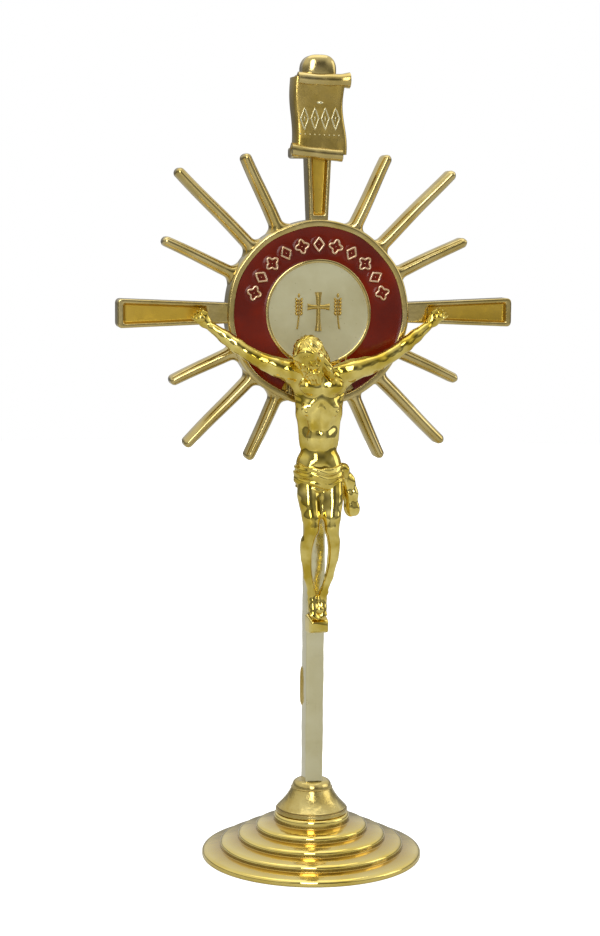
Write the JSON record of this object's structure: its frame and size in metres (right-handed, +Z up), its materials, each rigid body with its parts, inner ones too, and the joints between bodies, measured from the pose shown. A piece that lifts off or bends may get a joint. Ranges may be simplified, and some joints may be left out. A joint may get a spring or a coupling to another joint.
{
  "type": "monstrance crucifix",
  "caption": "Gilt sunburst table crucifix in monstrance form: stepped round foot, bell collar, rayed enamelled medallion, scroll and cast figure.",
  "frame": {"origin": "centre of the foot's underside, on the surface the cross stands on", "axes": "+Z up along the upright, +X to the viewer's right along the crossbars, -Y towards the viewer, the way the figure faces"},
  "size_m": [0.079, 0.0444, 0.16],
  "materials": {
    "polished_gilt": "mirror-polished gilt",
    "satin_gilt": "satin gilt",
    "cast_gilt": "bright gilt over cast metal",
    "bright_gilt": "polished gilt",
    "zinc_steel": "zinc plated",
    "spring_steel": "oiled spring steel",
    "red_enamel": "glossy cold enamel",
    "ivory_enamel": "glossy cold enamel"
  },
  "bodies": {
    "foot": {"stepped_foot": "polished_gilt"},
    "upright": {"bell_collar": "satin_gilt", "flat_washer": "zinc_steel", "spring_washer": "spring_steel", "hex_nut": "zinc_steel", "sunburst_cross": "cast_gilt", "red_enamel_band": "red_enamel", "ivory_enamel_host": "ivory_enamel", "corpus": "bright_gilt", "hand_nail_left": "bright_gilt", "hand_nail_right": "bright_gilt", "foot_nail": "bright_gilt"}
  },
  "joints": [
    {"name": "upright_swivel", "type": "hinge", "parent": "foot", "child": "upright", "pos_m": [0, 0, 0.0089], "axis": [0, 0, 1], "continuous": true}
  ]
}
